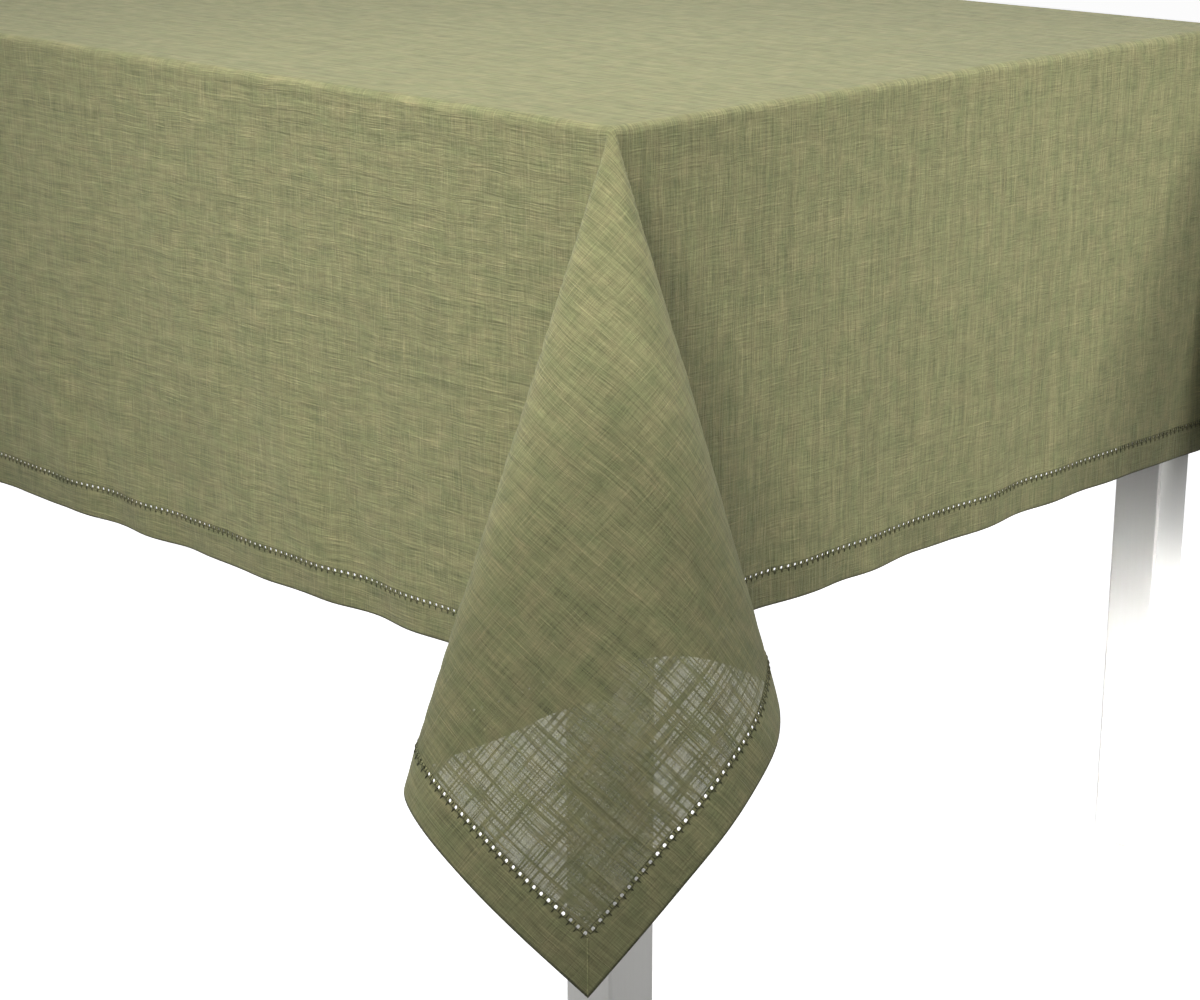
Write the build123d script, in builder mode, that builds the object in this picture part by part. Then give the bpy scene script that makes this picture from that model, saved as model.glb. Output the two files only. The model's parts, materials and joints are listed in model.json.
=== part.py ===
"""A hemstitched linen tablecloth lying on a four-legged dining table.

Row frame: millimetres, +Z up, the origin on the floor under the middle of the table top.
+X runs along the table's length, and -Y is the front.
The cloth is cut as one rectangle. It lies on the top, hangs straight down over the four edges,
and at each corner the spare quarter of cloth rolls into a fold: an elliptical cone whose point
is at the table's corner and whose back line hangs straight down from it.
"""

import os
from math import atan, atan2, cos, hypot, pi, sin, sqrt

from build123d import *

# --- Table: driving sizes ---
TABLE_LENGTH = 1400.0
TABLE_WIDTH = 760.0
TABLE_HEIGHT = 750.0
TOP_THICKNESS = 25.0
TOP_EDGE_RADIUS = 5.0
TOP_CORNER_RADIUS = 6.0
LEG_SIZE = 46.0
LEG_INSET = 10.0  # from the top's edge to the leg's outer face
EDGE_CHAMFER = 2.0  # on every sawn wooden edge that a hand meets
APRON_HEIGHT = 85.0
APRON_THICKNESS = 22.0
APRON_SETBACK = 8.0  # from the leg's outer face
BRACE_THICKNESS = 22.0
BRACE_HEIGHT = 66.0
BRACE_GAP = 16.0  # from the leg's inner corner to the brace
BOLT_RADIUS = 3.95
HOLE_CLEARANCE = 0.1  # all round each bolt and screw
HOLE_END_CLEARANCE = 1.0
BOLT_DEPTH_IN_LEG = 28.0
BOLT_SPACING = 34.0  # between the two bolts of a corner, up the brace
BOLT_TAIL = 14.0  # past the brace, for the washer and the nut
WASHER_RADIUS = 9.0
WASHER_THICKNESS = 1.6
NUT_RADIUS = 7.5
NUT_THICKNESS = 6.5
WING_LENGTH = 13.0
WING_HEIGHT = 9.0
WING_THICKNESS = 3.0
CLIP_SIZE = 28.0
CLIP_WIDTH = 22.0
CLIP_METAL = 2.5
CLIP_HOLE_RADIUS = 2.4
SCREW_RADIUS = 2.0
SCREW_HEAD_RADIUS = 4.0
SCREW_HEAD_HEIGHT = 2.2
SCREW_LENGTH = 16.0
GLIDE_RADIUS = 16.0
GLIDE_THICKNESS = 4.0
GLIDE_EDGE_RADIUS = 1.0

# --- Cloth: driving sizes ---
CLOTH_LENGTH = 2134.0  # along X, 84 in
CLOTH_WIDTH = 1524.0  # along Y, 60 in
CLOTH_SHIFT = 12.0  # the cloth lies this much further over the front edge
CLOTH_THICKNESS = 1.2
HEM_THICKNESS = 2.4  # the hem is folded over, so it is doubled
HEM_WIDTH = 25.4
STITCH_WIDTH = 2.2  # the drawn-thread row between the field and the hem
STITCH_THICKNESS = 1.0
CLOTH_GAP = 0.5  # between the table's side and the hanging cloth
CLOTH_LIFT = 0.2  # between the table top and the cloth
CORNER_SHORT = 1.0  # each hanging side ends this short of the table's corner

# --- Corner folds: driving sizes ---
FOLD_ACROSS = 0.285  # half width over axial length, across the table's diagonal
FOLD_OUT = 0.23  # the same, along the diagonal
FOLD_OFFSET = 3.0  # the fold's back line stands this far out from the table's corner
FOLD_START = 14.0  # the cone's wall starts at this axial distance from its point
FOLD_END = 640.0  # and the untrimmed wall ends here, past the cloth's corner

# --- Worked out from the driving sizes ---
HALF_LENGTH = TABLE_LENGTH / 2
HALF_WIDTH = TABLE_WIDTH / 2
END_DROP = (CLOTH_LENGTH - TABLE_LENGTH) / 2
FRONT_DROP = (CLOTH_WIDTH - TABLE_WIDTH) / 2 + CLOTH_SHIFT
BACK_DROP = (CLOTH_WIDTH - TABLE_WIDTH) / 2 - CLOTH_SHIFT
CLOTH_UNDERSIDE = TABLE_HEIGHT + CLOTH_LIFT
LEG_X = HALF_LENGTH - LEG_INSET - LEG_SIZE / 2
LEG_Y = HALF_WIDTH - LEG_INSET - LEG_SIZE / 2
LEG_TOP = TABLE_HEIGHT - TOP_THICKNESS
APRON_BOTTOM = LEG_TOP - APRON_HEIGHT
APRON_X = HALF_LENGTH - LEG_INSET - APRON_SETBACK - APRON_THICKNESS / 2
APRON_Y = HALF_WIDTH - LEG_INSET - APRON_SETBACK - APRON_THICKNESS / 2
LEG_INNER_X = LEG_X - LEG_SIZE / 2
LEG_INNER_Y = LEG_Y - LEG_SIZE / 2
# From the leg's inner corner out to the apron's inner face, measured square to the apron.
APRON_RECESS = APRON_X - APRON_THICKNESS / 2 - LEG_INNER_X
BRACE_MIDDLE = (LEG_TOP + APRON_BOTTOM) / 2
FOLD_TILT = atan(FOLD_OUT)  # leans the cone out until its back line is vertical

# The four corners: name, sign of x, sign of y, the drop over the front or back edge there.
CORNERS = [
    ("front_right", 1, -1, FRONT_DROP),
    ("front_left", -1, -1, FRONT_DROP),
    ("back_right", 1, 1, BACK_DROP),
    ("back_left", -1, 1, BACK_DROP),
]

os.makedirs("parts", exist_ok=True)


def save(shape, name):
    """Labels a finished piece and writes it as one STEP file."""
    shape.label = name
    export_step(shape, f"parts/{name}.step")


# ---------------------------------------------------------------- table


def make_table_top():
    with BuildPart() as top:
        with BuildSketch(Plane.XY.offset(LEG_TOP)):
            RectangleRounded(TABLE_LENGTH, TABLE_WIDTH, TOP_CORNER_RADIUS)
        extrude(amount=TOP_THICKNESS)
        fillet(top.faces().sort_by(Axis.Z)[-1].edges(), TOP_EDGE_RADIUS)
        chamfer(top.faces().sort_by(Axis.Z)[0].edges(), EDGE_CHAMFER)
    return top.part


def bolt_plane(x_sign, y_sign, z):
    """At a leg's inner corner, with its z axis along the diagonal into the table."""
    return Plane(origin=(x_sign * LEG_INNER_X, y_sign * LEG_INNER_Y, z), z_dir=(-x_sign, -y_sign, 0))


def bolt_heights():
    return [BRACE_MIDDLE - BOLT_SPACING / 2, BRACE_MIDDLE + BOLT_SPACING / 2]


def make_leg(x_sign, y_sign):
    with BuildPart() as leg:
        with BuildSketch(Plane.XY.offset(GLIDE_THICKNESS)):
            with Locations((x_sign * LEG_X, y_sign * LEG_Y)):
                Rectangle(LEG_SIZE, LEG_SIZE)
        extrude(amount=LEG_TOP - GLIDE_THICKNESS)
        chamfer(leg.edges().filter_by(Axis.Z), EDGE_CHAMFER)
        chamfer(leg.faces().sort_by(Axis.Z)[0].edges(), EDGE_CHAMFER)
        for z in bolt_heights():
            with BuildSketch(bolt_plane(x_sign, y_sign, z)):
                Circle(BOLT_RADIUS + HOLE_CLEARANCE)
            extrude(amount=-(BOLT_DEPTH_IN_LEG + HOLE_END_CLEARANCE), mode=Mode.SUBTRACT)
    return leg.part


def make_long_apron(y_sign):
    with BuildPart() as apron:
        with BuildSketch(Plane.XY.offset(APRON_BOTTOM)):
            with Locations((0, y_sign * APRON_Y)):
                Rectangle(2 * LEG_INNER_X, APRON_THICKNESS)
        extrude(amount=APRON_HEIGHT)
        chamfer(apron.faces().sort_by(Axis.Z)[0].edges().filter_by(Axis.X), EDGE_CHAMFER)
    return apron.part


def make_short_apron(x_sign):
    with BuildPart() as apron:
        with BuildSketch(Plane.XY.offset(APRON_BOTTOM)):
            with Locations((x_sign * APRON_X, 0)):
                Rectangle(APRON_THICKNESS, 2 * LEG_INNER_Y)
        extrude(amount=APRON_HEIGHT)
        chamfer(apron.faces().sort_by(Axis.Z)[0].edges().filter_by(Axis.Y), EDGE_CHAMFER)
    return apron.part


def make_corner_brace(x_sign, y_sign):
    """A block across the corner, its mitred ends flat against the two aprons."""
    face_x = LEG_INNER_X + APRON_RECESS
    face_y = LEG_INNER_Y + APRON_RECESS
    near = sqrt(2) * BRACE_GAP + APRON_RECESS
    far = sqrt(2) * (BRACE_GAP + BRACE_THICKNESS) + APRON_RECESS
    outline = [
        (x_sign * face_x, y_sign * (LEG_INNER_Y - near)),
        (x_sign * face_x, y_sign * (LEG_INNER_Y - far)),
        (x_sign * (LEG_INNER_X - far), y_sign * face_y),
        (x_sign * (LEG_INNER_X - near), y_sign * face_y),
    ]
    with BuildPart() as brace:
        with BuildSketch(Plane.XY.offset(BRACE_MIDDLE - BRACE_HEIGHT / 2)):
            with BuildLine():
                Polyline(*outline, close=True)
            make_face()
        extrude(amount=BRACE_HEIGHT)
        for z in bolt_heights():
            with BuildSketch(bolt_plane(x_sign, y_sign, z)):
                Circle(BOLT_RADIUS + HOLE_CLEARANCE)
            extrude(amount=BRACE_GAP + BRACE_THICKNESS + HOLE_END_CLEARANCE, mode=Mode.SUBTRACT)
    return brace.part


def make_hanger_bolts():
    with BuildPart() as bolts:
        for _, x_sign, y_sign, _ in CORNERS:
            for z in bolt_heights():
                start = bolt_plane(x_sign, y_sign, z).offset(-BOLT_DEPTH_IN_LEG)
                with BuildSketch(start):
                    Circle(BOLT_RADIUS)
                extrude(amount=BOLT_DEPTH_IN_LEG + BRACE_GAP + BRACE_THICKNESS + BOLT_TAIL)
    return bolts.part


def make_washers():
    with BuildPart() as washers:
        for _, x_sign, y_sign, _ in CORNERS:
            for z in bolt_heights():
                with BuildSketch(bolt_plane(x_sign, y_sign, z).offset(BRACE_GAP + BRACE_THICKNESS)):
                    Circle(WASHER_RADIUS)
                    Circle(BOLT_RADIUS + HOLE_CLEARANCE, mode=Mode.SUBTRACT)
                extrude(amount=WASHER_THICKNESS)
    return washers.part


def make_wing_nuts():
    seat = BRACE_GAP + BRACE_THICKNESS + WASHER_THICKNESS
    with BuildPart() as nuts:
        for _, x_sign, y_sign, _ in CORNERS:
            for z in bolt_heights():
                plane = bolt_plane(x_sign, y_sign, z).offset(seat)
                with BuildSketch(plane):
                    Circle(NUT_RADIUS)
                extrude(amount=NUT_THICKNESS)
                with BuildSketch(plane.offset(NUT_THICKNESS / 2)):
                    Rectangle(2 * WING_LENGTH, WING_THICKNESS)
                extrude(amount=WING_HEIGHT)
                with BuildSketch(plane):
                    Circle(BOLT_RADIUS + HOLE_CLEARANCE)
                extrude(amount=NUT_THICKNESS + WING_HEIGHT, mode=Mode.SUBTRACT)
    return nuts.part


def clip_planes():
    """One plane for each clip, at the inner edge under the top: x across the apron, z along it."""
    inner_x = APRON_X - APRON_THICKNESS / 2
    inner_y = APRON_Y - APRON_THICKNESS / 2
    planes = []
    for y_sign in (-1, 1):
        for x in (-HALF_LENGTH / 2, 0, HALF_LENGTH / 2):
            place = (x, y_sign * inner_y, LEG_TOP)
            planes.append(Plane(place, x_dir=(0, -y_sign, 0), z_dir=(-y_sign, 0, 0)))
    for x_sign in (-1, 1):
        place = (x_sign * inner_x, 0, LEG_TOP)
        planes.append(Plane(place, x_dir=(-x_sign, 0, 0), z_dir=(0, x_sign, 0)))
    return planes


def screw_planes(clip):
    """Where a clip's two screws go in: up into the top, and out into the apron."""
    middle = (CLIP_SIZE + CLIP_METAL) / 2
    inward, along = clip.x_dir, clip.z_dir
    under = clip.origin + inward * middle + Vector(0, 0, -CLIP_METAL)
    beside = clip.origin + inward * CLIP_METAL + Vector(0, 0, -middle)
    return [
        Plane(under, x_dir=along, z_dir=(0, 0, 1)),
        Plane(beside, x_dir=along, z_dir=-inward),
    ]


def make_top_clips():
    """Steel angles that hold the top down on the aprons."""
    with BuildPart() as clips:
        for plane in clip_planes():
            with BuildSketch(plane.offset(-CLIP_WIDTH / 2)):
                with BuildLine():
                    Polyline(
                        (0, 0),
                        (CLIP_SIZE, 0),
                        (CLIP_SIZE, -CLIP_METAL),
                        (CLIP_METAL, -CLIP_METAL),
                        (CLIP_METAL, -CLIP_SIZE),
                        (0, -CLIP_SIZE),
                        close=True,
                    )
                make_face()
            extrude(amount=CLIP_WIDTH)
            for screw in screw_planes(plane):
                with BuildSketch(screw):
                    Circle(CLIP_HOLE_RADIUS)
                extrude(amount=CLIP_METAL, mode=Mode.SUBTRACT)
    return clips.part


def make_clip_screws():
    """Button-headed screws, their heads on the clips."""
    with BuildPart() as screws:
        for plane in clip_planes():
            for screw in screw_planes(plane):
                with BuildSketch(screw.offset(-SCREW_HEAD_HEIGHT)):
                    Circle(SCREW_HEAD_RADIUS)
                extrude(amount=SCREW_HEAD_HEIGHT)
                with BuildSketch(screw):
                    Circle(SCREW_RADIUS)
                extrude(amount=SCREW_LENGTH)
    return screws.part


def drill_for_screws(part, axis):
    """The same part with a hole for each clip screw that runs along that axis."""
    with BuildPart() as drilled:
        add(part)
        for plane in clip_planes():
            for screw in screw_planes(plane):
                if abs(screw.z_dir.dot(Vector(*axis))) > 0.5:
                    with BuildSketch(screw):
                        Circle(SCREW_RADIUS + HOLE_CLEARANCE)
                    extrude(amount=SCREW_LENGTH + HOLE_END_CLEARANCE, mode=Mode.SUBTRACT)
    return drilled.part


def make_foot_glide(x_sign, y_sign):
    with BuildPart() as glide:
        with BuildSketch():
            with Locations((x_sign * LEG_X, y_sign * LEG_Y)):
                Circle(GLIDE_RADIUS)
        extrude(amount=GLIDE_THICKNESS)
        fillet(glide.faces().sort_by(Axis.Z)[0].edges(), GLIDE_EDGE_RADIUS)
    return glide.part


# ---------------------------------------------------------------- cloth


def make_top_panel():
    """The part of the cloth that lies on the table."""
    out = CLOTH_GAP + CLOTH_THICKNESS
    with BuildPart() as panel:
        with BuildSketch(Plane.XY.offset(CLOTH_UNDERSIDE)):
            Rectangle(TABLE_LENGTH + 2 * out, TABLE_WIDTH + 2 * out)
        extrude(amount=CLOTH_THICKNESS)
    return panel.part


def make_hanging_strip(side, low, high, thickness):
    """A flat strip of the cloth on one side of the table, from low to high below the top."""
    sign = 1 if side in ("right", "back") else -1
    middle = sign * (CLOTH_GAP + thickness / 2)
    with BuildPart() as strip:
        with BuildSketch(Plane.XY.offset(CLOTH_UNDERSIDE - low)):
            if side in ("front", "back"):
                with Locations((0, sign * HALF_WIDTH + middle)):
                    Rectangle(TABLE_LENGTH - 2 * CORNER_SHORT, thickness)
            else:
                with Locations((sign * HALF_LENGTH + middle, 0)):
                    Rectangle(thickness, TABLE_WIDTH - 2 * CORNER_SHORT)
        extrude(amount=low - high)
    return strip.part


def fold_plane(x_sign, y_sign):
    """At the fold's point: z down the cone's axis, x across the table's diagonal."""
    diagonal = Vector(x_sign, y_sign, 0).normalized()
    apex = Vector(x_sign * HALF_LENGTH, y_sign * HALF_WIDTH, CLOTH_UNDERSIDE) + diagonal * FOLD_OFFSET
    axis = Vector(0, 0, -cos(FOLD_TILT)) + diagonal * sin(FOLD_TILT)
    across = Vector(0, 0, 1).cross(diagonal)
    return Plane(apex, x_dir=across, z_dir=axis)


def make_cone_shell(plane, thickness):
    """The whole elliptical cone as a thin wall, much longer than the fold."""
    with BuildPart() as shell:
        for distance in (FOLD_START, FOLD_END):
            with BuildSketch(plane.offset(distance)):
                Ellipse(FOLD_ACROSS * distance, FOLD_OUT * distance)
        loft()
        for distance in (FOLD_START, FOLD_END):
            with BuildSketch(plane.offset(distance)):
                Ellipse(FOLD_ACROSS * distance - thickness, FOLD_OUT * distance - thickness)
        loft(mode=Mode.SUBTRACT)
    return shell.part


def generator(plane, turn):
    """The direction of the cone's straight line at that turn from its back line, in radians."""
    across = FOLD_ACROSS * sin(turn)
    out = FOLD_OUT * cos(turn)
    return (plane.z_dir + plane.x_dir * across + back_direction(plane) * out).normalized()


def back_direction(plane):
    """Square to the cone's axis, in the diagonal's upright plane, towards the table."""
    toward = plane.x_dir.cross(plane.z_dir)
    return toward if toward.Z < 0 else -toward


def trim_plane(plane, x_side, drop, other_drop):
    """The plane through the edge of the cloth on one side of a fold.

    The edge starts on the cone's back line at this side's drop and ends at the cloth's corner.
    """
    corner_angle = atan2(other_drop, drop)  # in the flat cloth, from the back line
    share = corner_angle / (pi / 2)
    turn = 2 * pi * share
    start = plane.origin + generator(plane, 0) * drop
    middle = plane.origin + generator(plane, x_side * turn / 2) * (drop / cos(corner_angle / 2))
    end = plane.origin + generator(plane, x_side * turn) * hypot(drop, other_drop)
    normal = (middle - start).cross(end - start)
    if normal.Z < 0:
        normal = -normal
    return Plane(start, z_dir=normal)


def make_fold_band(x_sign, y_sign, side_drop, upper, lower, thickness):
    """The part of a corner fold between two distances from the cloth's edge.

    upper and lower are measured in the flat cloth from the edge inwards, and upper None means
    up to the cone's point. Each half of the cone is trimmed along its own edge of the cloth.
    """
    plane = fold_plane(x_sign, y_sign)
    halves = []
    for x_side in (1, -1):
        # The half towards the end of the table hangs by the end drop, the other by the side's.
        toward_end = plane.x_dir.Y * x_side * y_sign < 0
        drop = END_DROP if toward_end else side_drop
        other = side_drop if toward_end else END_DROP
        tip_turn = 2 * pi * atan2(other, drop) / (pi / 2)
        tip = generator(plane, x_side * tip_turn)
        # The halves meet on the upright plane through the back line and the cloth's corner.
        split_normal = Vector(0, 0, -1).cross(tip).normalized()
        if split_normal.dot(plane.x_dir) * x_side < 0:
            split_normal = -split_normal
        with BuildPart() as half:
            add(make_cone_shell(plane, thickness))
            split(bisect_by=Plane(plane.origin, z_dir=split_normal), keep=Keep.TOP)
            split(bisect_by=trim_plane(plane, x_side, drop - lower, other - lower), keep=Keep.TOP)
            if upper is not None:
                edge = trim_plane(plane, x_side, drop - upper, other - upper)
                split(bisect_by=edge, keep=Keep.BOTTOM)
        halves.append(half.part)
    with BuildPart() as band:
        for half in halves:
            add(half)
    return band.part


# ---------------------------------------------------------------- build and write

table_top = drill_for_screws(make_table_top(), (0, 0, 1))
save(table_top, "table_top")
for name, y_sign in (("front", -1), ("back", 1)):
    save(drill_for_screws(make_long_apron(y_sign), (0, 1, 0)), f"apron_{name}")
for name, x_sign in (("left", -1), ("right", 1)):
    save(drill_for_screws(make_short_apron(x_sign), (1, 0, 0)), f"apron_{name}")
for name, x_sign, y_sign, _ in CORNERS:
    save(make_leg(x_sign, y_sign), f"leg_{name}")
    save(make_corner_brace(x_sign, y_sign), f"corner_brace_{name}")
    save(make_foot_glide(x_sign, y_sign), f"foot_glide_{name}")
save(make_hanger_bolts(), "hanger_bolts")
save(make_washers(), "washers")
save(make_wing_nuts(), "wing_nuts")
save(make_top_clips(), "top_clips")
save(make_clip_screws(), "clip_screws")

save(make_top_panel(), "cloth_top")
STITCH_TOP = HEM_WIDTH + STITCH_WIDTH
for side, drop in (
    ("front", FRONT_DROP),
    ("back", BACK_DROP),
    ("left", END_DROP),
    ("right", END_DROP),
):
    save(make_hanging_strip(side, drop - STITCH_TOP, 0, CLOTH_THICKNESS), f"cloth_drop_{side}")
    stitch = make_hanging_strip(side, drop - HEM_WIDTH, drop - STITCH_TOP, STITCH_THICKNESS)
    save(stitch, f"hemstitch_{side}")
    save(make_hanging_strip(side, drop, drop - HEM_WIDTH, HEM_THICKNESS), f"hem_{side}")
for name, x_sign, y_sign, drop in CORNERS:
    save(make_fold_band(x_sign, y_sign, drop, None, STITCH_TOP, CLOTH_THICKNESS), f"corner_fold_{name}")
    stitch = make_fold_band(x_sign, y_sign, drop, STITCH_TOP, HEM_WIDTH, STITCH_THICKNESS)
    save(stitch, f"corner_hemstitch_{name}")
    save(make_fold_band(x_sign, y_sign, drop, HEM_WIDTH, 0, HEM_THICKNESS), f"corner_hem_{name}")
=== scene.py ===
"""The looks of a hemstitched linen tablecloth on its table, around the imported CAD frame.

Everything is in metres in the CAD frame. The cloth is worked out in flat coordinates, u along
the table's length and v across it, both from the middle of the table, and cloth_point() says
where each flat point hangs. The weave, the hems, the seams and the stitches all use them.
"""

import json
import math

import bpy
import numpy as np
from mathutils import Matrix, Vector


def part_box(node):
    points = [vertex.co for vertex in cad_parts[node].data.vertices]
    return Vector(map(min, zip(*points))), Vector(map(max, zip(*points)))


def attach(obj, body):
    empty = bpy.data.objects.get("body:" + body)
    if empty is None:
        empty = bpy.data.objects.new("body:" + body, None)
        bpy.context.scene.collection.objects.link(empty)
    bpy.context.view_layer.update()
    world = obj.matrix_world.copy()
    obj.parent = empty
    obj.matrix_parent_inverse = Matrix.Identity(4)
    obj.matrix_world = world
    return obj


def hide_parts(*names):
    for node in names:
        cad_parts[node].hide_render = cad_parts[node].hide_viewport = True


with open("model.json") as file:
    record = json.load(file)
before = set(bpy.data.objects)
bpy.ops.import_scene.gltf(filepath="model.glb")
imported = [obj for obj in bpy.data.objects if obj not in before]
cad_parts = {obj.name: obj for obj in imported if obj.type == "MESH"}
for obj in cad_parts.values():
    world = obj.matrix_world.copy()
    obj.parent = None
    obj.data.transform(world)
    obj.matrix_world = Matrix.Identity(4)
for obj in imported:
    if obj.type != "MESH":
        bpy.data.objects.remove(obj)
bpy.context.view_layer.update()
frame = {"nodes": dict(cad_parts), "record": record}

# ------------------------------------------------------------------ sizes

TOP_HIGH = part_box("table_top")[1]
HEM_WIDTH = 0.0254
STITCH_WIDTH = 0.003  # the open row of holes
STITCH_THICKNESS = 0.0009
STITCH_PITCH = 0.0063
HOLE_RADIUS = 0.0012
OVERLAP = 0.0003  # how far the open row runs into the field and into the hem
FIELD_THICKNESS = 0.0006
HEM_THICKNESS = 0.0015
EDGE_RADIUS = 0.005  # the table top's rounded edge
BEND_RADIUS = 0.0055  # the cloth's middle surface, going over that edge
CORNERS = ("front_right", "front_left", "back_right", "back_left")

TABLE_HEIGHT = TOP_HIGH.z
HALF_LENGTH = TOP_HIGH.x
HALF_WIDTH = TOP_HIGH.y
CLOTH_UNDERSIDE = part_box("cloth_top")[0].z
FRONT_DROP = CLOTH_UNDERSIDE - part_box("hem_front")[0].z
BACK_DROP = CLOTH_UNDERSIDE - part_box("hem_back")[0].z
END_DROP = CLOTH_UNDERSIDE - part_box("hem_right")[0].z
FLAT_X = HALF_LENGTH - EDGE_RADIUS  # where the cloth leaves the flat top
FLAT_Y = HALF_WIDTH - EDGE_RADIUS
BEND_LENGTH = BEND_RADIUS * math.pi / 2
U_EDGE = HALF_LENGTH + END_DROP
V_FRONT = -(HALF_WIDTH + FRONT_DROP)
V_BACK = HALF_WIDTH + BACK_DROP
V_MIDDLE = (V_FRONT + V_BACK) / 2
V_HALF = (V_BACK - V_FRONT) / 2

# The section of each corner fold, a unit below its point. The fold is a flattened cone whose
# back line hangs straight down from the table's corner.
FOLD_OUT = 0.230  # half its depth, along the table's diagonal
FOLD_ACROSS = 0.307  # half its width
FRONT_FLATNESS = 0.010
BACK_NARROWING = 0.022
TWIST = 0.023  # pulls one side of the fold forward
LEAN = 0.021  # moves its front sideways
BIAS_STRETCH = 0.014  # how much longer the cloth hangs at 45 degrees to its threads
SKEW_STRETCH = 0.031  # how much more of that one side of the fold takes


# ------------------------------------------------------------------ the drape


def cone_table(unevenness, samples=2001):
    """The flat angle round a corner fold, and the direction of the cone's line at that angle.

    The direction is given as out along the table's diagonal, across it, and down.
    """
    turn = np.linspace(0.0, 2 * math.pi, samples)
    front, front_flat = 1 - np.cos(turn), FRONT_FLATNESS * (1 - np.cos(3 * turn))
    out = FOLD_OUT * front + front_flat - unevenness * TWIST * np.sin(2 * turn)
    across = FOLD_ACROSS * np.sin(turn) - BACK_NARROWING * np.sin(2 * turn)
    across += unevenness * (front_flat - LEAN * front)
    line = np.stack([out, across, np.ones(samples)], 1)
    line /= np.linalg.norm(line, axis=1)[:, None]
    steps = np.linalg.norm(np.diff(line, axis=0), axis=1)
    angle = np.concatenate([[0.0], np.cumsum(steps)])
    return angle * (math.pi / 2) / angle[-1], line


# The near corner's fold leans one way, and the others differ a little.
UNEVENNESS = {(1, -1): 1.0, (-1, -1): -0.5, (1, 1): -0.8, (-1, 1): 0.4}
CONES = {corner: cone_table(unevenness) for corner, unevenness in UNEVENNESS.items()}


def over_the_edge(s):
    """How far out and down a cloth goes in a length s, over the table's rounded edge."""
    bend = np.clip(s, 0.0, BEND_LENGTH) / BEND_RADIUS
    straight = np.maximum(s - BEND_LENGTH, 0.0)
    return BEND_RADIUS * np.sin(bend), BEND_RADIUS * (1 - np.cos(bend)) + straight


def drape(u, v):
    """Where flat points go when the cloth is folded by hand over the table, in metres."""
    u, v = np.asarray(u, float), np.asarray(v, float)
    sign_u, sign_v = np.sign(u), np.sign(v)
    past_u = np.maximum(np.abs(u) - FLAT_X, 0.0)
    past_v = np.maximum(np.abs(v) - FLAT_Y, 0.0)
    # In a corner, both are past the edge: use the distance and angle from the corner instead.
    length = np.hypot(past_u, past_v)
    angle = np.arctan2(past_v, past_u)
    out, down = over_the_edge(length)
    hanging = np.maximum(length - BEND_LENGTH, 0.0)
    bent_down = down - hanging
    spread = np.zeros(u.shape + (2,))
    drop = down.copy()
    for (side_x, side_y), (cone_angle, line) in CONES.items():
        here = (past_u > 0) & (past_v > 0) & (sign_u == side_x) & (sign_v == side_y)
        turn = angle[here]
        cone_out, across, cone_down = (np.interp(turn, cone_angle, line[:, k]) for k in range(3))
        bias = BIAS_STRETCH * np.sin(2 * turn) ** 2
        skew = SKEW_STRETCH * UNEVENNESS[side_x, side_y] * np.sin(4 * turn)
        fold = hanging[here] * (1 + bias - skew)
        spread[here] = np.stack([cone_out + across, cone_out - across], -1) * math.sqrt(0.5)
        spread[here] *= fold[:, None]
        drop[here] = bent_down[here] + fold * cone_down
    x = np.minimum(np.abs(u), FLAT_X) + out * np.cos(angle) + spread[..., 0]
    y = np.minimum(np.abs(v), FLAT_Y) + out * np.sin(angle) + spread[..., 1]
    z = TABLE_HEIGHT - EDGE_RADIUS + BEND_RADIUS - drop
    return np.stack([sign_u * x, sign_v * y, z], -1)


# ------------------------------------------------------------------ ripples, and the whole cloth

RIPPLE_HEIGHT = 0.0055  # at the cut edge
RIPPLE_WAVES = (0.37, 0.24, 0.16, 0.11, 0.08)  # wavelengths along the drops
RIPPLE_GROWTH = 1.4  # the power of the distance down the drop
CRUMPLE_HEIGHT = 0.0007
CRUMPLE_START = 0.05  # the crumples reach their full height this far down
CRUMPLE_WAVES = (0.085, 0.062, 0.047)
draws = np.random.default_rng(11)


def waves(lengths):
    """A rate, and a seeded phase, slant and share, for each wavelength."""
    full = 2 * math.pi
    return [
        (full / length, draws.uniform(0, full), draws.normal(0, 0.25), draws.uniform(0.6, 1))
        for length in lengths
    ]


def add_up(parts, along, down):
    """The waves' sum, which stays between -1 and 1."""
    total = sum(share for _, _, _, share in parts)
    return sum(
        share * np.sin(rate * (along + slant * down) + phase) for rate, phase, slant, share in parts
    ) / total


SIDE_WAVES = {sign: (waves(RIPPLE_WAVES), waves(RIPPLE_WAVES)) for sign in (1, -1)}
CRUMPLES = (waves(CRUMPLE_WAVES), waves(CRUMPLE_WAVES))


def ripple(u, v):
    """How far the cloth stands off its plain drape: soft waves that grow down the drops."""
    past_u = np.maximum(np.abs(u) - FLAT_X, 0.0)
    past_v = np.maximum(np.abs(v) - FLAT_Y, 0.0)
    down = np.hypot(past_u, past_v)
    on_end = (past_u / np.maximum(down, 1e-9)) ** 2
    grown = np.clip(down / END_DROP, 0.0, 1.0) ** RIPPLE_GROWTH
    total = np.zeros(np.shape(u))
    for sign in (1, -1):
        along_end, along_side = SIDE_WAVES[sign]
        total += np.where(np.sign(u) == sign, on_end * add_up(along_end, v, down), 0.0)
        total += np.where(np.sign(v) == sign, (1 - on_end) * add_up(along_side, u, down), 0.0)
    crumple = add_up(CRUMPLES[0], u, v) * add_up(CRUMPLES[1], v, u)
    started = np.clip(down / CRUMPLE_START, 0.0, 1.0)
    return RIPPLE_HEIGHT * grown * total + CRUMPLE_HEIGHT * started * crumple


def square_to(surface, u, v, step=0.0015):
    """The direction square to a surface, from places a step each side of the point."""
    along = surface(u + step, v) - surface(u - step, v)
    across = surface(u, v + step) - surface(u, v - step)
    normal = np.cross(along, across)
    return normal / np.linalg.norm(normal, axis=-1)[..., None]


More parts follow.
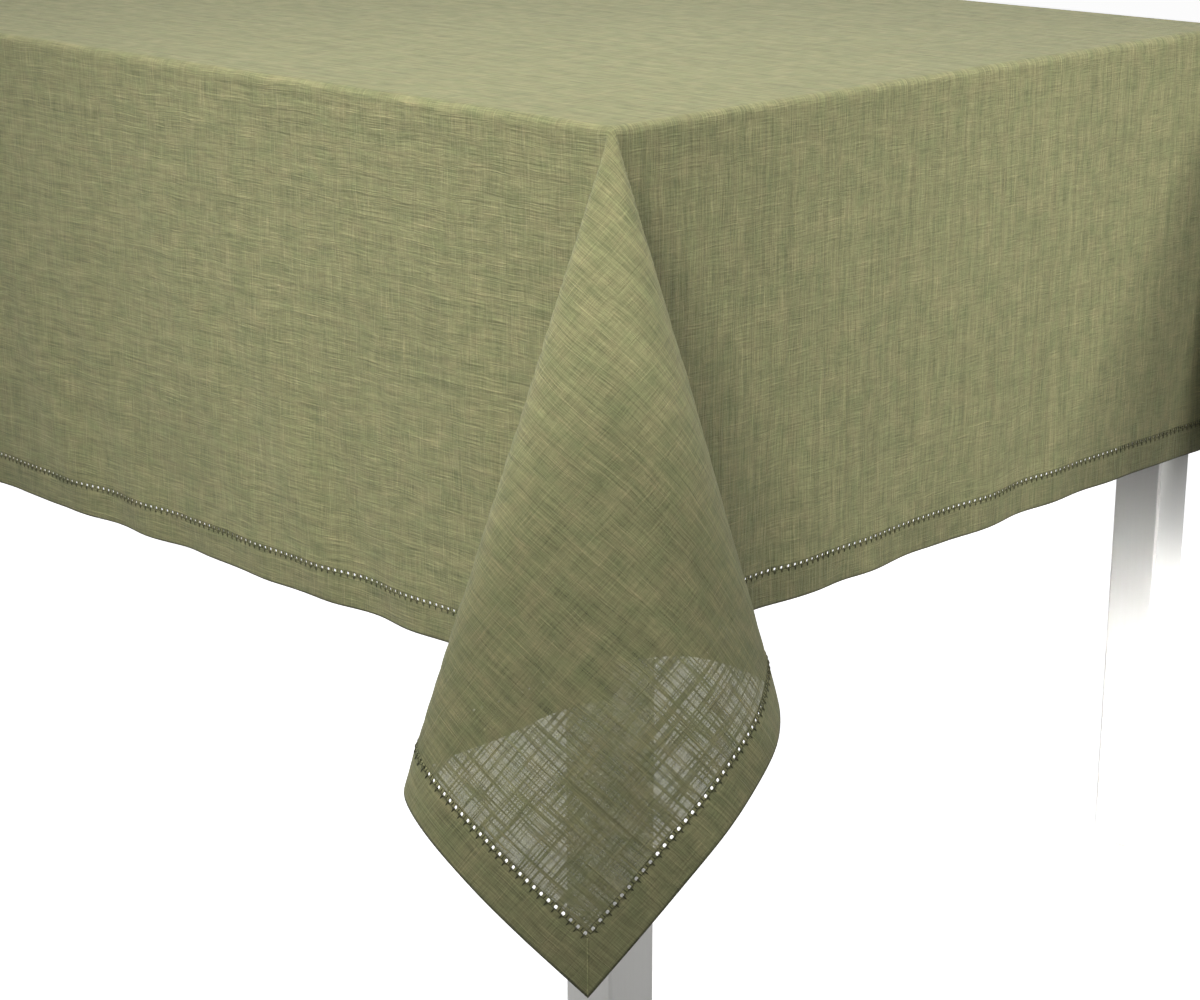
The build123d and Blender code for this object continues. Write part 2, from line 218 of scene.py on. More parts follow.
def cloth_point(u, v):
    """Where the middle surface of the cloth is, for any flat points."""
    u, v = np.broadcast_arrays(np.asarray(u, float), np.asarray(v, float))
    return drape(u, v) + square_to(drape, u, v) * ripple(u, v)[..., None]


def raised(u, v, height):
    """A place above the cloth's middle surface, on its upper or outer side."""
    u, v, height = np.broadcast_arrays(u, v, height)
    return cloth_point(u, v) + square_to(cloth_point, u, v) * height[..., None]


EDGES = {  # the middle of each cut edge, the way along it, the way in from it, and half its length
    "front": ((0, V_FRONT), (1, 0), (0, 1), U_EDGE),
    "right": ((U_EDGE, V_MIDDLE), (0, 1), (-1, 0), V_HALF),
    "back": ((0, V_BACK), (-1, 0), (0, -1), U_EDGE),
    "left": ((-U_EDGE, V_MIDDLE), (0, -1), (1, 0), V_HALF),
}


def from_edge(side, along, inward):
    """Flat places, from how far they are along a cut edge and in from it."""
    middle, way_along, way_in, _ = EDGES[side]
    u = middle[0] + way_along[0] * along + way_in[0] * inward
    v = middle[1] + way_along[1] * along + way_in[1] * inward
    return u, v


# ------------------------------------------------------------------ meshes


def graded(*stretches):
    """Grid lines from 0 outwards: each stretch is (end, number of cells)."""
    lines, start = [0.0], 0.0
    for end, cells in stretches:
        lines += list(np.linspace(start, end, cells + 1)[1:])
        start = end
    return np.array(lines)


def both_ways(low, high):
    """Grid lines on both sides of 0, from two sets that start there."""
    return np.concatenate([-low[::-1], high[1:]])


def cloth_piece(name, points, faces, flat, material, replaced):
    """A piece of the cloth, with each vertex's flat place kept as its UV map, in metres."""
    mesh = bpy.data.meshes.new(name)
    mesh.from_pydata(points.reshape(-1, 3).tolist(), [], [tuple(face) for face in faces])
    layer = mesh.uv_layers.new(name="flat")
    corner = np.zeros(len(mesh.loops), np.int64)
    mesh.loops.foreach_get("vertex_index", corner)
    layer.data.foreach_set("uv", flat.reshape(-1, 2)[corner].ravel())
    mesh.polygons.foreach_set("use_smooth", np.ones(len(mesh.polygons), bool))
    mesh.set_sharp_from_angle(angle=math.radians(50))
    mesh.materials.append(material)
    piece = bpy.data.objects.new(name, mesh)
    bpy.context.scene.collection.objects.link(piece)
    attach(piece, "cloth")
    if replaced:
        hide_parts(*replaced)
    return piece


def grid_quads(rows, columns):
    """Quads of a grid whose vertex (i, j) is number i * columns + j."""
    i, j = np.meshgrid(np.arange(rows - 1), np.arange(columns - 1), indexing="ij")
    corner = (i * columns + j).ravel()
    return np.stack([corner, corner + columns, corner + columns + 1, corner + 1], 1)


TOP_CELL = 0.015  # how large the field's grid cells are on the table top
BEND_CELLS = 6  # how many go over the table's edge
FINE_REACH = 0.05  # the finer cells below the edge end this far from it
FINE_CELLS = 12
DROP_CELLS = 46  # how many are in the rest of a drop


def make_field(material):
    """The cloth inside the open rows: a thin closed sheet on a grid of flat lines."""
    inset = HEM_WIDTH + STITCH_WIDTH - OVERLAP
    lines_u, lines_front, lines_back = (
        graded(
            (flat_end, round(flat_end / TOP_CELL)),
            (flat_end + BEND_LENGTH, BEND_CELLS),
            (flat_end + FINE_REACH, FINE_CELLS),
            (edge - inset, DROP_CELLS),
        )
        for flat_end, edge in ((FLAT_X, U_EDGE), (FLAT_Y, -V_FRONT), (FLAT_Y, V_BACK))
    )
    lines_u, lines_v = both_ways(lines_u, lines_u), both_ways(lines_front, lines_back)
    u, v = np.meshgrid(lines_u, lines_v, indexing="ij")
    half = FIELD_THICKNESS / 2
    points = np.stack([raised(u, v, half), raised(u, v, -half)])
    rows, columns = u.shape
    quads = grid_quads(rows, columns)
    number = np.arange(rows * columns).reshape(rows, columns)
    rim = np.concatenate([number[:, 0], number[-1, 1:], number[-2::-1, -1], number[0, -2:0:-1]])
    following = np.roll(rim, -1)
    below = rows * columns
    walls = np.stack([rim, rim + below, following + below, following], 1)
    faces = np.concatenate([quads, quads[:, ::-1] + below, walls])
    flat = np.stack([u, v], -1)
    replaced = ["cloth_top"]
    replaced += [f"cloth_drop_{side}" for side in EDGES]
    replaced += [f"corner_fold_{name}" for name in CORNERS]
    flat_twice = np.stack([flat, flat])
    return cloth_piece("tablecloth_field", points, faces, flat_twice, material, replaced)


def hem_section():
    """The folded hem's section: distances in from the cut edge, and heights."""
    half = HEM_THICKNESS / 2
    inner = np.array([1.0, 0.97, 0.8, 0.55, 0.3, 0.1]) * HEM_WIDTH
    height = np.array([0.62, 0.8, 0.9, 0.92, 0.95, 1.0]) * half
    turn = np.linspace(0, math.pi, 7)[1:-1]
    fold_in, fold_height = half * (1 - np.sin(turn)), half * np.cos(turn)
    inward = np.concatenate([inner, fold_in, inner[::-1]])
    return inward, np.concatenate([height, fold_height, -height[::-1]])


HEM_CELL = 0.006  # how long the hem's grid cells are


def make_hem(material):
    """One closed ring of folded hem, mitred at the four corners."""
    inward, height = hem_section()
    parts = []
    for side, (_, _, _, half) in EDGES.items():
        share = np.linspace(-1, 1, round(2 * half / HEM_CELL) + 1)[:-1, None]
        parts.append(from_edge(side, share * (half - inward), inward + 0 * share))
    u, v = (np.concatenate([part[k] for part in parts]) for k in (0, 1))
    rows, columns = u.shape
    i, j = np.meshgrid(np.arange(rows), np.arange(columns), indexing="ij")
    next_i, next_j = (i + 1) % rows, (j + 1) % columns
    row, next_row = i * columns, next_i * columns
    corners = (row + j, row + next_j, next_row + next_j, next_row + j)
    faces = np.stack(corners, -1).reshape(-1, 4)
    replaced = [f"hem_{side}" for side in EDGES]
    replaced += [f"corner_hem_{name}" for name in CORNERS]
    flat = np.stack([u, v], -1)
    return cloth_piece(
        "tablecloth_hem", raised(u, v, height), faces, flat, material, replaced
    )


THREAD_SIDES = 5
THREAD_TAPER = 0.45  # how thick a thread is at its ends
BUNDLE_RADIUS = 0.00042  # of the wrapped threads between two holes
TICK_RADIUS = 0.00048  # of the stitches into the hem
HEM_THREAD_RADIUS = 0.0003
FIELD_THREAD_RADIUS = 0.0002
SEAM_RADIUS = 0.0005
SEAM_STATIONS = 22

# The open row is made of cells, each with a round hole in the middle of a rectangle. The rim
# has four points on each side, as shares of the half length and half width.
THIRD = 1 / 3
CELL_RIM = np.array(
    [(1, -THIRD), (1, THIRD), (1, 1), (THIRD, 1), (-THIRD, 1), (-1, 1)]
    + [(-1, THIRD), (-1, -THIRD), (-1, -1), (-THIRD, -1), (THIRD, -1), (1, -1)]
)


def row_cells(side):
    """How far along the edge each cell's middle is, and half a cell's length."""
    half = EDGES[side][3] - HEM_WIDTH
    if side in ("left", "right"):
        half -= STITCH_WIDTH  # the front and back rows take the corners
    count = round(2 * half / STITCH_PITCH)
    pitch = 2 * half / count
    return -half + pitch * (np.arange(count) + 0.5), pitch / 2


def make_open_row(material):
    """The drawn-thread row inside the hem, with a real hole in every cell."""
    low, high = HEM_WIDTH - OVERLAP, HEM_WIDTH + STITCH_WIDTH
    middle, half_width = (low + high) / 2, (high - low) / 2
    around = np.arctan2(CELL_RIM[:, 1], CELL_RIM[:, 0])
    sides = len(CELL_RIM)
    k = np.arange(sides)
    following = (k + 1) % sides
    rim, hole, below = 0, sides, 2 * sides
    upper = np.stack([rim + k, rim + following, hole + following, hole + k], 1)
    lower = upper[:, ::-1] + below
    hole_wall = hole + np.stack([k, following, following + below, k + below], 1)
    walls = np.stack([k, k + below, following + below, following], 1)
    near_end, far_end = walls[[5, 6, 7]], walls[[11, 0, 1]]
    cell = np.concatenate([upper, lower, hole_wall, walls[[2, 3, 4, 8, 9, 10]]])
    points, flats, faces, done = [], [], [], 0
    for side in EDGES:
        centres, half = row_cells(side)
        offsets = np.concatenate(
            [
                CELL_RIM * (half, half_width),
                HOLE_RADIUS * np.stack([np.cos(around), np.sin(around)], 1),
            ]
        )
        along = centres[:, None] + offsets[:, 0]
        u, v = from_edge(side, along, middle + offsets[:, 1])
        layers = [raised(u, v, height) for height in (STITCH_THICKNESS / 2, -STITCH_THICKNESS / 2)]
        points.append(np.stack(layers, 1).reshape(-1, 3))
        flats.append(np.repeat(np.stack([u, v], -1)[:, None], 2, 1).reshape(-1, 2))
        count = len(centres)
        size = 4 * sides
        starts = done + size * np.arange(count)
        faces.append((cell[None] + starts[:, None, None]).reshape(-1, 4))
        faces.append(near_end + starts[0])
        faces.append(far_end + starts[-1])
        done += size * count
    points, flats, faces = (np.concatenate(part) for part in (points, flats, faces))
    points, flats, faces = join_equal(points, flats, faces)
    replaced = [f"hemstitch_{side}" for side in EDGES]
    replaced += [f"corner_hemstitch_{name}" for name in CORNERS]
    return cloth_piece(
        "tablecloth_open_row", points, faces, flats, material, replaced
    )


def join_equal(points, flats, faces):
    """Joins the vertices that are in the same place, such as those of neighbouring cells."""
    keys = np.round(points * 1e7).astype(np.int64)
    _, first, number = np.unique(keys, axis=0, return_index=True, return_inverse=True)
    return points[first], flats[first], number.ravel()[faces]


def threads_beside(side, along, inward, height, radius):
    """Threads on the cloth beside an edge: the rows of each array are the threads' paths."""
    u, v = from_edge(side, along, inward)
    centre = raised(u, v, height)
    heading = np.gradient(centre, axis=1)
    sideways = np.cross(square_to(cloth_point, u, v), heading)
    sideways /= np.linalg.norm(sideways, axis=-1)[..., None]
    upward = np.cross(heading, sideways)
    upward /= np.linalg.norm(upward, axis=-1)[..., None]
    taper = np.ones((centre.shape[1], 1))
    taper[[0, -1]] = THREAD_TAPER
    turns = 2 * math.pi * np.arange(THREAD_SIDES) / THREAD_SIDES
    ring = [math.cos(turn) * sideways + math.sin(turn) * upward for turn in turns]
    points = np.stack([centre + radius * taper * way for way in ring], 2)
    flats = np.repeat(np.stack([u, v], -1)[:, :, None], THREAD_SIDES, 2)
    return points, flats


def thread_faces(count, stations, first):
    """The faces of closed threads, whose vertices are numbered from first on."""
    station, k = np.meshgrid(np.arange(stations - 1), np.arange(THREAD_SIDES), indexing="ij")
    a = (station * THREAD_SIDES + k).ravel()
    b = (station * THREAD_SIDES + (k + 1) % THREAD_SIDES).ravel()
    quads = np.stack([a, b, b + THREAD_SIDES, a + THREAD_SIDES], 1)
    ends = np.stack([np.arange(THREAD_SIDES)[::-1], np.arange(THREAD_SIDES)])
    ends[1] += (stations - 1) * THREAD_SIDES
    starts = first + stations * THREAD_SIDES * np.arange(count)[:, None, None]
    around, caps = (quads + starts).reshape(-1, 4), (ends + starts).reshape(-1, THREAD_SIDES)
    return around.tolist() + caps.tolist()


def thread_piece(name, laid, material):
    """One mesh of threads, from each set's side, places along and in, height and radius."""
    points, flats, faces, done = [], [], [], 0
    for side, along, inward, height, radius in laid:
        along, inward, height = np.broadcast_arrays(along, inward, height)
        new_points, new_flats = threads_beside(side, along, inward, height, radius)
        points.append(new_points.reshape(-1, 3))
        flats.append(new_flats.reshape(-1, 2))
        faces += thread_faces(*along.shape, done)
        done += len(points[-1])
    points, flats = np.concatenate(points), np.concatenate(flats)
    return cloth_piece(name, points, faces, flats, material, [])


def make_stitches(material):
    """The wrapped bundles between the holes, and the thread that ties them to the hem."""
    laid = []
    surface = STITCH_THICKNESS / 2
    for side in EDGES:
        centres, half = row_cells(side)
        inner = HEM_WIDTH + STITCH_WIDTH
        centres = centres[:, None]
        bundle = np.linspace(HEM_WIDTH - 0.0003, inner + 0.0003, 4)
        bundle_height = np.array([0.4, 1.0, 1.0, 0.4]) * surface
        tick = HEM_WIDTH + np.array([0.0006, 0.0001, -0.0004, -0.0015, -0.0027])
        tick_height = np.array([-0.2, 1.7, 2.0, 1.9, 1.2]) * surface
        span = np.linspace(-1, 1, 4)
        between = centres + span * half
        field_thread, hem_thread = inner + 0.0002 * span**2, HEM_WIDTH + 0.0003 * span**2
        field_height, hem_height = (1.25 - 0.35 * span**2) * surface, (2 - 0.6 * span**2) * surface
        laid += [
            (side, centres - half, bundle, bundle_height, BUNDLE_RADIUS),
            (side, centres, tick, tick_height, TICK_RADIUS),
            (side, between, field_thread, field_height, FIELD_THREAD_RADIUS),
            (side, between, hem_thread, hem_height, HEM_THREAD_RADIUS),
        ]
    return thread_piece("hemstitch_threads", laid, material)


def make_mitre_seams(material):
    """The line of close stitches that shuts the hem's mitre at each corner."""
    inward = np.linspace(HEM_WIDTH, 0.0012, SEAM_STATIONS)
    height = np.full(SEAM_STATIONS, HEM_THICKNESS / 2 + 0.0001)
    laid = []
    for side in ("front", "back"):
        half_edge = EDGES[side][3]
        ends = np.stack([inward - half_edge, half_edge - inward])
        laid.append((side, ends, inward, height, SEAM_RADIUS))
    return thread_piece("mitre_seams", laid, material)


# ------------------------------------------------------------------ materials


class Recipe:
    """A procedural material: add() makes a node and gives its output socket."""

    def __init__(self, name, roughness, shader_values=()):
        self.material = bpy.data.materials.new(name)
        self.material.use_nodes = True
        self.tree = self.material.node_tree
        self.shader = self.tree.nodes["Principled BSDF"]
        self.set("Roughness", roughness)
        for key, value in shader_values:
            self.set(key, value)

    def feed(self, socket, value):
        if isinstance(value, bpy.types.NodeSocket):
            self.tree.links.new(value, socket)
        else:
            socket.default_value = value

    def set(self, name, value):
        self.feed(self.shader.inputs[name], value)

    def add(self, kind, inputs, output=0, **settings):
        node = self.tree.nodes.new("ShaderNode" + kind)
        for key, value in settings.items():
            setattr(node, key, value)
        for key, value in inputs.items():
            self.feed(node.inputs[key], value)
        return node.outputs[output]

    def object_place(self):
        return self.add("TexCoord", {}, "Object")

    def noise(self, place, scale, detail=2.0, shift=0.0):
        """Noise with its own scale each way, in cycles per metre."""
        moved = self.add("Mapping", {"Vector": place, "Location": (shift,) * 3, "Scale": scale})
        return self.add("TexNoise", {"Vector": moved, "Scale": 1.0, "Detail": detail})

    def ramp(self, value, low, high, start=0.0, end=1.0):
        return self.add("MapRange", {0: value, 1: low, 2: high, 3: start, 4: end})

    def parts(self, vector):
        """A vector's first two numbers."""
        return self.add("SeparateXYZ", {0: vector}).node.outputs[:2]

    def near(self, wanted, value, full, none):
        """1 where the value is as wanted, falling to 0 further off: thin lines, in a noise."""
        off = self.math("ABSOLUTE", self.math("SUBTRACT", value, wanted), 0.0)
        return self.ramp(off, full, none, 1.0, 0.0)

    def math(self, operation, a, b):
        return self.add("Math", {0: a, 1: b}, operation=operation)

    def total(self, base, *parts):
        """A base number plus each (value, share)."""
        for value, share in parts:
            base = self.add("Math", {0: value, 1: share, 2: base}, operation="MULTIPLY_ADD")
        return base

    def mix(self, share, a, b, how="MIX"):
        return self.add("Mix", {0: share, 6: a, 7: b}, 2, data_type="RGBA", blend_type=how)

    def bump(self, height, distance, strength=1.0):
        inputs = {"Height": height, "Distance": distance, "Strength": strength}
        self.set("Normal", self.add("Bump", inputs))


TIP_SHADE = 0.6  # painted shade: how light the corner folds' tips are painted, against the rest
VALLEY_SHADE = 0.44  # painted shade: how much darker the end drops are painted where a fold stands out beside them
CORNER_SHADE = 0.22  # painted shade: how much darker the see-through cloth's threads are painted
THREAD_COVER = 0.15  # how see-through its thick threads are, against the gaps between them
GREEN, BROWN = (0.303, 0.328, 0.150), (0.400, 0.352, 0.180)


def past_edges(r, flat):
    """How far a flat place is past the table's edge along u and along v."""
    past = r.add("VectorMath", {0: flat}, operation="ABSOLUTE")
    past = r.add("VectorMath", {0: past, 1: (FLAT_X, FLAT_Y, 0)}, operation="SUBTRACT")
    return r.parts(past)


def fold_shade(r, past_u, past_v, both):
    """Painted shade: the folds' tips, and the valleys beside the folds on the end drops, are
    painted darker.
    """
    tip = r.ramp(both, 0.04, 0.36, 1.0, TIP_SHADE)
    slope = r.math("DIVIDE", past_v, past_u)
    near_fold, on_drop = r.ramp(slope, -0.72, -0.3), r.ramp(slope, -0.02, 0.05, 1.0, 0.0)
    valley = r.math("MULTIPLY", r.math("MULTIPLY", near_fold, on_drop), r.ramp(past_u, 0.01, 0.1))
    return r.math("MULTIPLY", tip, r.total(1.0, (valley, -VALLEY_SHADE)))


def cut_edge_shade(r, flat, edge_shade):
    """Painted shade: the hem's folded edge is painted darker, in a line about a millimetre wide."""
    middle = r.add("VectorMath", {0: flat, 1: (0, V_MIDDLE, 0)}, operation="SUBTRACT")
    middle = r.add("VectorMath", {0: middle}, operation="ABSOLUTE")
    inside = r.add("VectorMath", {0: (U_EDGE, V_HALF, 0), 1: middle}, operation="SUBTRACT")
    from_edge_u, from_edge_v = r.parts(inside)
    return r.ramp(r.math("MINIMUM", from_edge_u, from_edge_v), 0.0009, 0.0018, edge_shade, 1.0)


def gaps(r, flat, slub, see_through):
    """How see-through the cloth is between its thick threads, which run both ways."""
    thick_u = r.near(0.5, r.noise(flat, (8, 380, 1), 1.0, 4.4), 0.02, 0.06)
    thick_v = r.near(0.5, r.noise(flat, (380, 8, 1), 1.0, 6.6), 0.02, 0.06)
    covered = r.math("MAXIMUM", r.math("MAXIMUM", thick_u, thick_v), slub)
    return r.ramp(covered, 0.0, 1.0, see_through, THREAD_COVER * see_through)


def linen_material(name, tint=1.0, see_through=0.0, edge_shade=1.0):
    """Slubby plain-weave linen, from the flat map: its threads follow u and v.

    Only the corner folds are see-through.
    """
    cloth_values = [("Sheen Weight", 0.12), ("Sheen Roughness", 0.5), ("Specular IOR Level", 0.25)]
    r = Recipe(name, 0.88, cloth_values)
    cut = r.add("UVMap", {}, uv_map="flat")
    wander = r.add("TexNoise", {"Vector": cut, "Scale": 22.0, "Detail": 1.0}, "Color")
    wander = r.add("VectorMath", {0: wander, 1: (0.5, 0.5, 0.5)}, operation="SUBTRACT")
    wander = r.add("VectorMath", {0: wander, "Scale": 0.004}, operation="SCALE")
    flat = r.add("VectorMath", {0: cut, 1: wander}, operation="ADD")

    weft = r.ramp(r.noise(flat, (45, 1250, 1), 3.0), 0.3, 0.7)
    warp = r.ramp(r.noise(flat, (1250, 55, 1), 3.0, 3.1), 0.3, 0.7)
    slub_u = r.ramp(r.noise(flat, (26, 900, 1), 2.0, 5.7), 0.58, 0.70)
    slub_v = r.ramp(r.noise(flat, (900, 30, 1), 2.0, 8.3), 0.60, 0.72)
    band_u = r.ramp(r.noise(flat, (7, 290, 1), 3.0, 1.9), 0.3, 0.7)
    band_v = r.ramp(r.noise(flat, (240, 11, 1), 3.0, 2.3), 0.3, 0.7)
    cloud = r.ramp(r.noise(flat, (50, 70, 1), 5.0), 0.3, 0.7)
    crinkle = r.noise(flat, (150, 190, 1), 3.0, 7.7)

    hue = r.total(0.0, (cloud, 0.55), (weft, 0.15), (slub_u, 0.25), (slub_v, 0.25))
    green, brown = ([tint * part for part in colour] + [1] for colour in (GREEN, BROWN))
    colour = r.mix(hue, green, brown)
    light = r.total(
        0.34,
        (weft, 0.42),
        (warp, 0.30),
        (slub_u, 0.20),
        (slub_v, 0.16),
        (band_u, 0.24),
        (band_v, 0.10),
        (cloud, 0.10),
    )
    wave = {"Vector": flat, "Scale": 110.0, "Distortion": 1.5}
    weaves = [r.add("TexWave", wave, 1, bands_direction=way) for way in "XY"]
    threads = [(weft, 0.7), (warp, 0.6), (slub_u, 0.8), (slub_v, 0.8)]
    height = r.total(0.0, *threads, (weaves[0], 0.2), (weaves[1], 0.2), (crinkle, 3.0))
    r.bump(height, 0.0004, 0.8)

    past_u, past_v = past_edges(r, flat)
    both = r.math("MINIMUM", past_u, past_v)
    light = r.math("MULTIPLY", light, fold_shade(r, past_u, past_v, both))
    if edge_shade < 1:
        light = r.math("MULTIPLY", light, cut_edge_shade(r, cut, edge_shade))
    if see_through:
        in_corner = r.ramp(both, 0.09, 0.15)
        slub = r.math("MAXIMUM", slub_u, slub_v)
        gap = r.math("MULTIPLY", gaps(r, cut, slub, see_through), in_corner)
        r.set("Alpha", r.math("SUBTRACT", 1.0, gap))
        # Painted shade darkens the see-through corner cloth, and painted light lightens its gaps.
        light = r.math("MULTIPLY", light, r.total(1.0, (in_corner, -CORNER_SHADE), (gap, 0.9)))
    r.set("Base Color", r.mix(1.0, colour, light, "MULTIPLY"))
    return r.material


def paint_material(name, grain):
    """Satin white paint, with the brush marks and a little of the grain under it."""
    r = Recipe(name, 0.38, [("Coat Weight", 0.15), ("Coat Roughness", 0.3)])
    place = r.object_place()
    brush = r.noise(place, grain, 3.0)
    cloud = r.noise(place, (6, 6, 6), 3.0, 2.0)
    tone = r.total(0.0, (brush, 0.5), (cloud, 0.5))
    r.set("Base Color", r.mix(tone, (0.76, 0.75, 0.71, 1), (0.84, 0.835, 0.81, 1)))
    r.set("Roughness", r.ramp(cloud, 0.3, 0.7, 0.32, 0.5))
    r.bump(brush, 0.00012)
    return r.material


def wood_material():
    """Planed pale wood, with its grain lying level."""
    r = Recipe("bare_wood", 0.62)
    place = r.object_place()
    wide = r.noise(place, (6, 6, 70), 2.0)
    rings = r.add("Math", {0: r.math("MULTIPLY", wide, 60.0)}, operation="SINE")
    pores = r.ramp(r.noise(place, (35, 35, 900), 2.0, 4.0), 0.55, 0.7)
    tone = r.total(0.5, (rings, 0.35))
    colour = r.mix(tone, (0.45, 0.30, 0.16, 1), (0.66, 0.48, 0.29, 1))
    r.set("Base Color", r.mix(r.math("MULTIPLY", pores, 0.5), colour, (0.25, 0.15, 0.08, 1)))
    r.bump(r.total(0.0, (rings, 0.3), (pores, -0.7)), 0.0002)
    return r.material


def steel_material():
    """Bright zinc plate, with its cloudy grains and fine marks."""
    r = Recipe("zinc_steel", 0.3, [("Metallic", 1.0)])
    place = r.object_place()
    cloud = r.noise(place, (160, 160, 160), 3.0)
    marks = r.noise(place, (900, 900, 120), 2.0, 1.0)
    r.set("Base Color", r.mix(cloud, (0.50, 0.52, 0.55, 1), (0.74, 0.75, 0.76, 1)))
    r.set("Roughness", r.ramp(marks, 0.3, 0.7, 0.22, 0.46))
    r.bump(marks, 0.00003)
    return r.material


def plastic_material():
    """Pale moulded plastic, scuffed where it slides on the floor."""
    r = Recipe("glide_plastic", 0.5)
    place = r.object_place()
    scuff = r.ramp(r.noise(place, (220, 220, 60), 4.0), 0.5, 0.7)
    r.set("Base Color", r.mix(scuff, (0.74, 0.73, 0.68, 1), (0.55, 0.54, 0.50, 1)))
    r.set("Roughness", r.ramp(scuff, 0.0, 1.0, 0.42, 0.65))
    r.bump(scuff, 0.00005)
    return r.material


def finish_table():
    """Gives each of the table's CAD nodes its material, by what it is."""
    level = paint_material("paint_level", (12, 12, 420))
    upright = paint_material("paint_upright", (420, 420, 12))
    flat = paint_material("paint_flat", (12, 420, 420))
    by_slot = {
        "bare_wood": wood_material(),
        "zinc_steel": steel_material(),
        "glide_plastic": plastic_material(),
    }
    for part in frame["record"]["subparts"]:
        node, kind = part["node"], part["material_slot"]
        if kind == "painted_wood":
            material = flat if node == "table_top" else upright if node.startswith("leg") else level
        elif kind in by_slot:
            material = by_slot[kind]
        else:
            continue
        mesh = frame["nodes"][node].data
        mesh.materials.clear()
        mesh.materials.append(material)


finish_table()
field = make_field(linen_material("linen", see_through=0.34))
hem = make_hem(linen_material("linen_hem", tint=0.88, edge_shade=0.4))
open_row = make_open_row(linen_material("linen_open_row", tint=0.95))
# The stitch threads are painted dark: painted shade for the shadows beside the holes.
stitches = make_stitches(linen_material("stitch_thread", tint=0.3))
seams = make_mitre_seams(linen_material("seam_thread", tint=1.25))

# ------------------------------------------------------------------ camera, light and stage

CAMERA_LENS = 77.5  # in millimetres, with SENSOR_WIDTH
SENSOR_WIDTH = 36.0
CAMERA_AZIMUTH = math.radians(44.2)
CAMERA_ELEVATION = math.radians(17.2)
CORNER_DISTANCE = 1.662  # from the camera to the near corner, along its view
AIM_BELOW_CORNER = 0.2391
AIM_LEFT_OF_CORNER = 0.0078


def add_camera():
    """Looks along the table's diagonal at its near corner, from a little above."""
    forward = Vector(
        (
            -math.sin(CAMERA_AZIMUTH) * math.cos(CAMERA_ELEVATION),
            math.cos(CAMERA_AZIMUTH) * math.cos(CAMERA_ELEVATION),
            -math.sin(CAMERA_ELEVATION),
        )
    )
    right = Vector((math.cos(CAMERA_AZIMUTH), math.sin(CAMERA_AZIMUTH), 0))
    up = right.cross(forward)
    corner = Vector((HALF_LENGTH, -HALF_WIDTH, TABLE_HEIGHT))
    aim = corner - up * AIM_BELOW_CORNER - right * AIM_LEFT_OF_CORNER
    data = bpy.data.cameras.new("camera")
    data.lens = CAMERA_LENS
    data.sensor_width = SENSOR_WIDTH
    camera = bpy.data.objects.new("camera", data)
    camera.matrix_world = Matrix.Translation(aim - forward * CORNER_DISTANCE) @ Matrix(
        (right, up, -forward)
    ).transposed().to_4x4()
    bpy.context.scene.collection.objects.link(camera)
    bpy.context.scene.camera = camera


SKY_STRENGTH = 0.16
GROUND_SHARE = 0.6  # how bright the studio is below the table, against above it
FLOOR_SIZE = 60.0
FLOOR_GLOW = 0.85


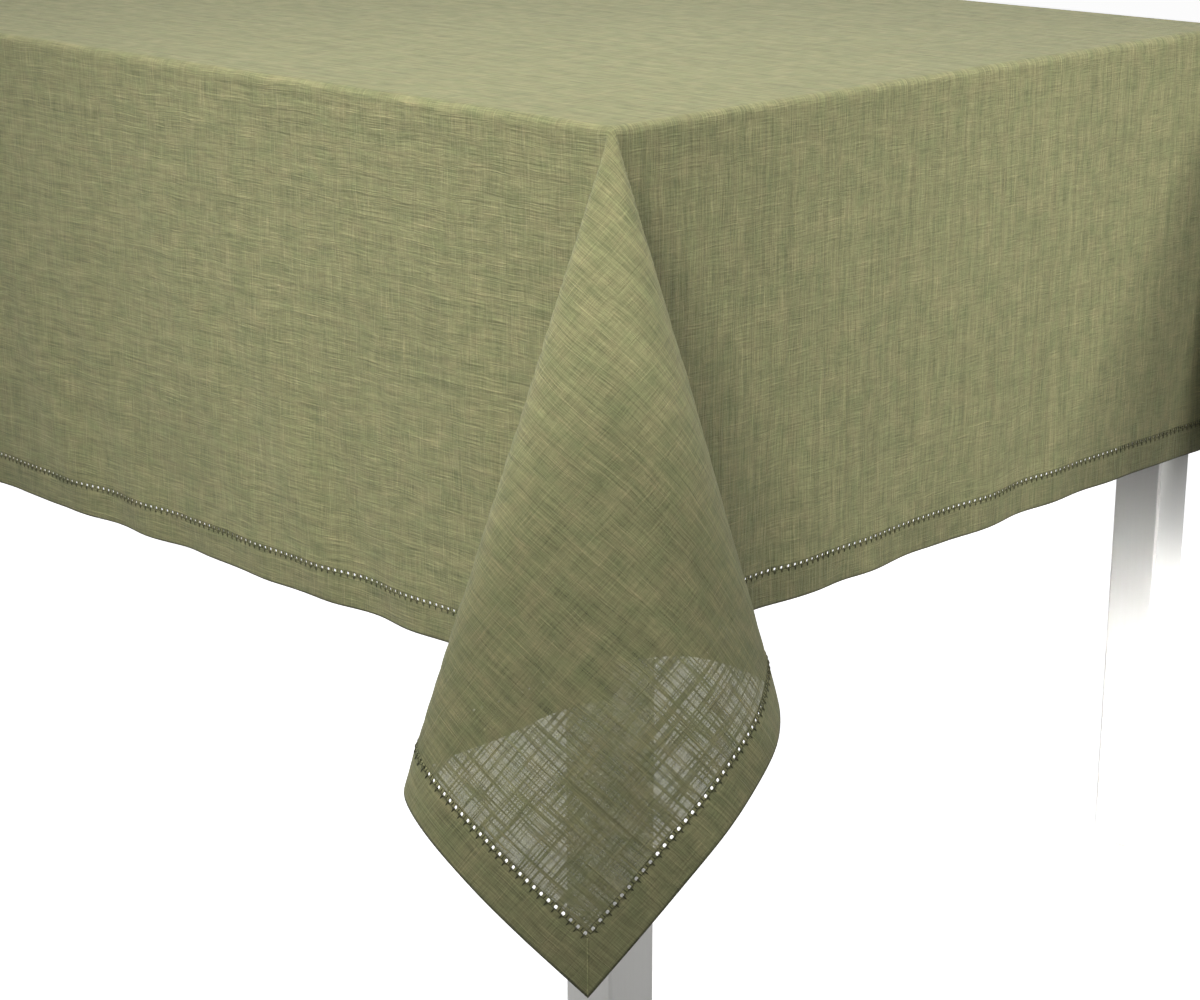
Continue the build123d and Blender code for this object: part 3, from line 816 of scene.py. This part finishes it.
def add_world():
    """A soft studio, dimmer below than above, in front of a plain white backdrop."""
    world = bpy.data.worlds.new("studio")
    bpy.context.scene.world = world
    world.use_nodes = True
    tree = world.node_tree
    room, backdrop = tree.nodes["Background"], tree.nodes.new("ShaderNodeBackground")
    parts = tree.nodes.new("ShaderNodeSeparateXYZ")
    height = tree.nodes.new("ShaderNodeMapRange")
    height.inputs["From Min"].default_value = -0.25
    height.inputs["From Max"].default_value = 0.9
    height.inputs["To Min"].default_value = GROUND_SHARE
    room.inputs["Strength"].default_value = SKY_STRENGTH
    backdrop.inputs["Color"].default_value = (1, 1, 1, 1)
    either = tree.nodes.new("ShaderNodeMixShader")
    links = [
        (tree.nodes.new("ShaderNodeTexCoord").outputs["Generated"], parts.inputs[0]),
        (parts.outputs["Z"], height.inputs["Value"]),
        (height.outputs[0], room.inputs["Color"]),
        (tree.nodes.new("ShaderNodeLightPath").outputs["Is Camera Ray"], either.inputs[0]),
        (room.outputs[0], either.inputs[1]),
        (backdrop.outputs[0], either.inputs[2]),
        (either.outputs[0], tree.nodes["World Output"].inputs["Surface"]),
    ]
    for start, end in links:
        tree.links.new(start, end)


def add_light(name, place, aim, size, watts, spread):
    """A round soft light, whose spread is in degrees."""
    data = bpy.data.lights.new(name, "AREA")
    data.shape = "DISK"
    data.size = size
    data.energy = watts
    data.spread = math.radians(spread)
    light = bpy.data.objects.new(name, data)
    light.location = place
    light.rotation_euler = (Vector(aim) - Vector(place)).to_track_quat("-Z", "Y").to_euler()
    bpy.context.scene.collection.objects.link(light)


def add_floor():
    """A plain white floor, lit a little from within so that it stays white in soft shadow."""
    mesh = bpy.data.meshes.new("floor")
    far = FLOOR_SIZE / 2
    corners = [(-far, -far, 0), (far, -far, 0), (far, far, 0), (-far, far, 0)]
    mesh.from_pydata(corners, [], [(0, 1, 2, 3)])
    glow = [("Emission Strength", FLOOR_GLOW), ("Emission Color", (1, 1, 1, 1))]
    r = Recipe("floor_white", 0.9, glow)
    r.set("Base Color", (0.85, 0.85, 0.85, 1))
    mesh.materials.append(r.material)
    floor = bpy.data.objects.new("floor", mesh)
    bpy.context.scene.collection.objects.link(floor)
    floor.visible_diffuse = False  # the studio's dim lower half lights the cloth instead


add_camera()
add_world()
add_light("top_light", (0.95, -1.1, 2.6), (0.55, -0.2, 0.75), 0.9, 7.0, 76)
add_light("front_light", (0.25, -2.4, 1.3), (0.42, -0.38, 0.62), 0.9, 1.95, 46)
add_light("end_light", (3.0, 0.8, 1.35), (0.7, 0.15, 0.72), 0.8, 2.95, 42)
add_light("far_top_light", (-1.1, 1.2, 2.5), (-0.5, 0.3, 0.7), 0.9, 0.6, 70)
add_light("back_light", (-0.1, 2.5, 1.2), (-0.1, 0.38, 0.55), 1.2, 4.0, 70)
add_light("far_end_light", (-3.0, -0.2, 1.2), (-0.7, 0.0, 0.55), 1.0, 3.5, 50)
add_light("leg_light", (2.3, -0.9, 0.1), (0.69, 0.34, 0.1), 0.15, 0.8, 14)
add_floor()
bpy.context.scene.view_settings.view_transform = "Standard"
